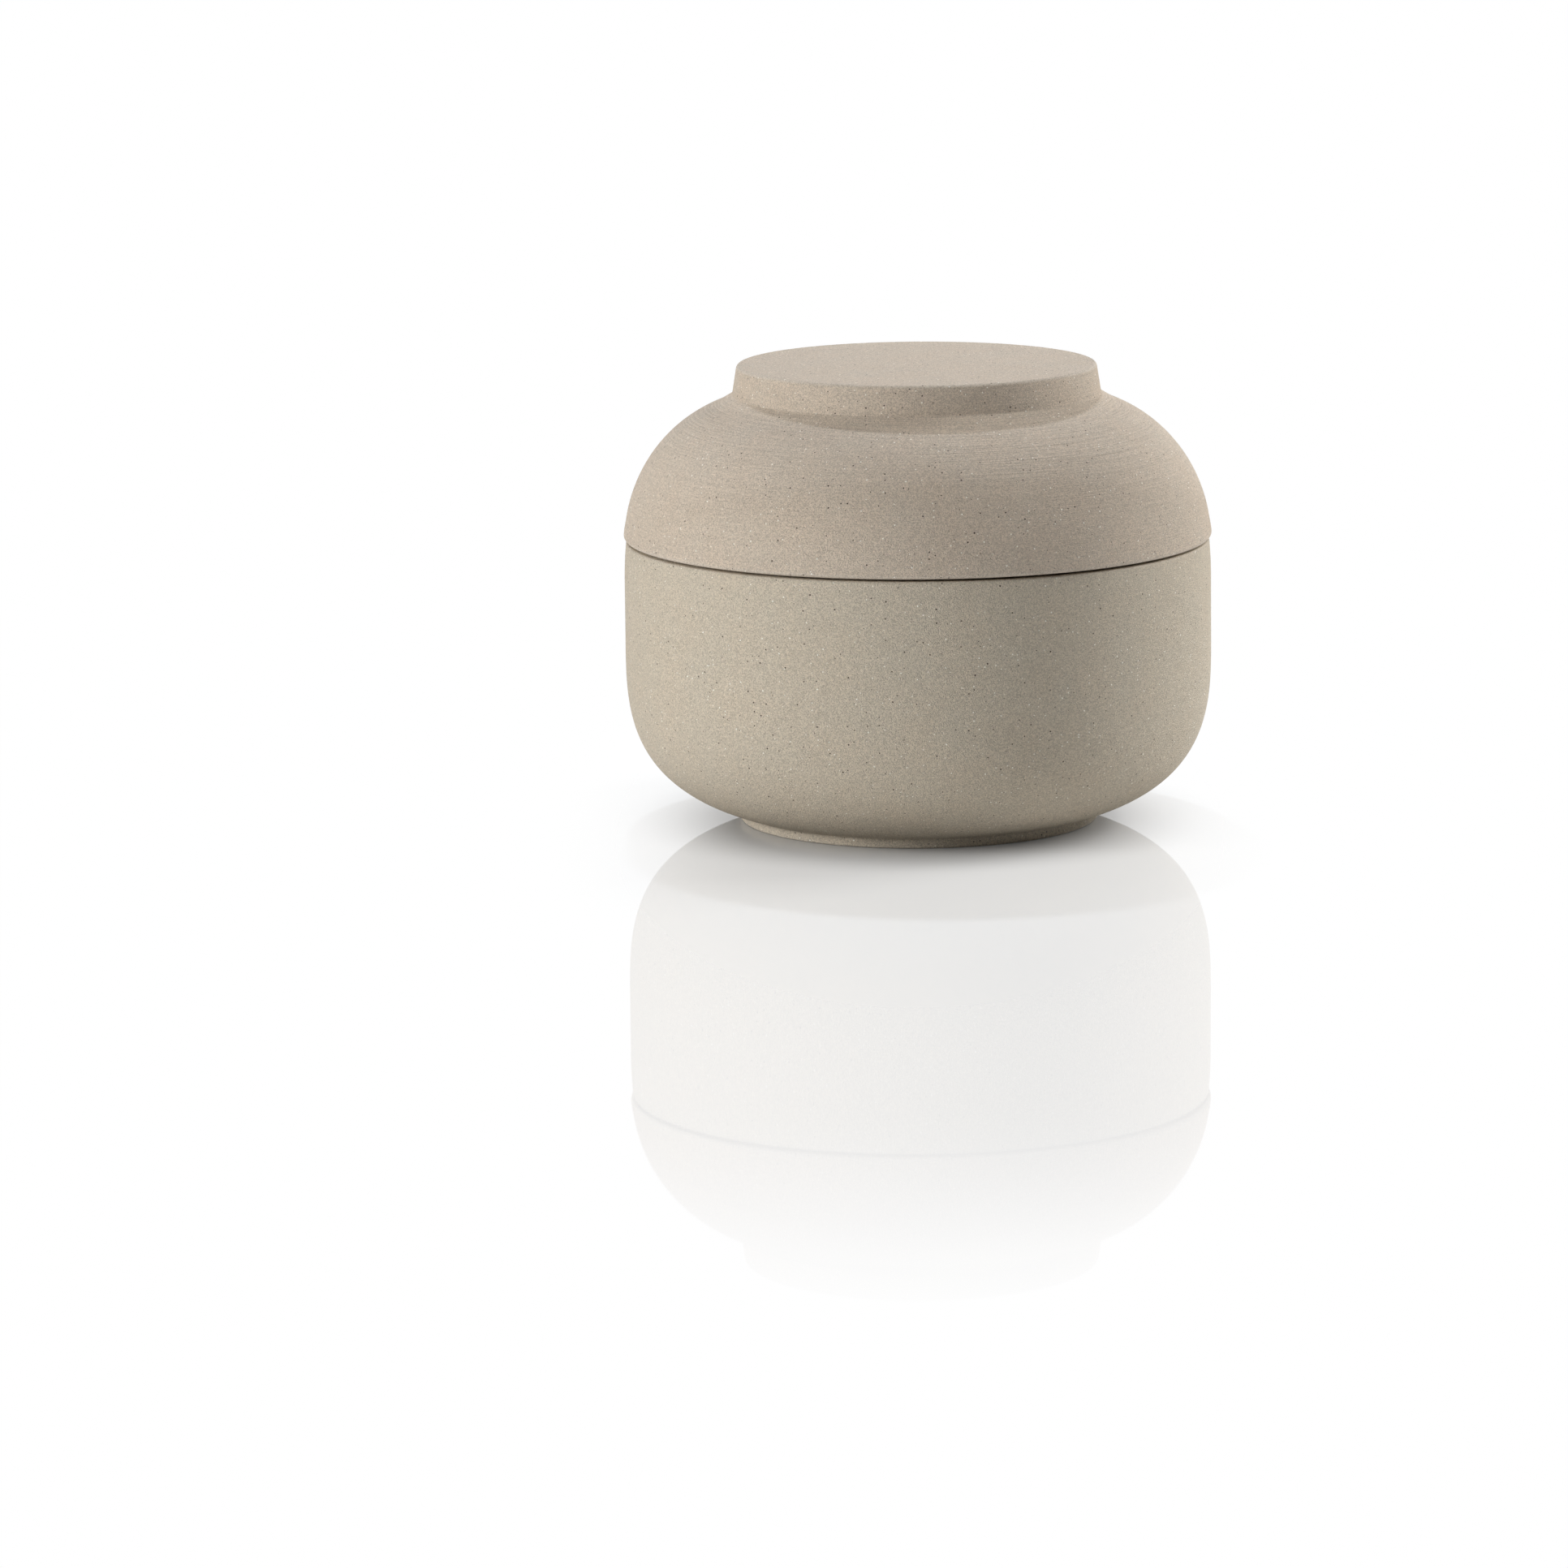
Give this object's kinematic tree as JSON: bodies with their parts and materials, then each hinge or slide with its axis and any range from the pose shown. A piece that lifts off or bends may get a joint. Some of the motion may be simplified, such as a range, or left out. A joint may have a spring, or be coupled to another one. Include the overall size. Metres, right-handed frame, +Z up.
{
  "type": "lidded jar",
  "caption": "Round speckled stoneware jar on a low foot ring, closed by a loose domed lid with a flat disc grip and a locating flange.",
  "frame": {"origin": "on the table, under the middle of the foot ring", "axes": "+Z up along the axis of the jar and its lid; the form is round, so X and Y only name directions across it"},
  "size_m": [0.12, 0.12, 0.0938],
  "materials": {
    "stoneware": "unglazed speckled stoneware, matt"
  },
  "bodies": {
    "jar": {"jar_body": "stoneware"},
    "lid": {"lid": "stoneware"}
  },
  "joints": [
    {"name": "lid_lift", "type": "slide", "parent": "jar", "child": "lid", "axis": [0, 0, 1], "range_m": [0, 0.06]}
  ]
}
